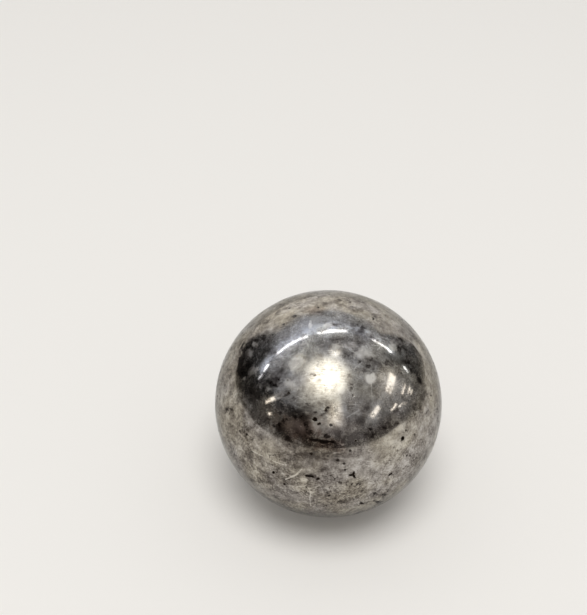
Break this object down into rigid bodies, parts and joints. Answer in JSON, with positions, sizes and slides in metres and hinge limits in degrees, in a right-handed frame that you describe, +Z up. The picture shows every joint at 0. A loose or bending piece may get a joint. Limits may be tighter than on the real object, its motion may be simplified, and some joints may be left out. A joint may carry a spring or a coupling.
{
  "type": "steel ball",
  "caption": "Solid steel ball with a worn, tarnished polish and small dark corrosion pits over its front.",
  "frame": {"origin": "centre of the ball", "axes": "+Z up, +X right, -Y to the front, where most of the corrosion pits are"},
  "size_m": [0.0508, 0.0508, 0.0508],
  "materials": {
    "steel": "ground and polished, dulled by grey-brown tarnish, with dark oxide pits and stains"
  },
  "bodies": {
    "root": {"ball": "steel"}
  },
  "joints": []
}
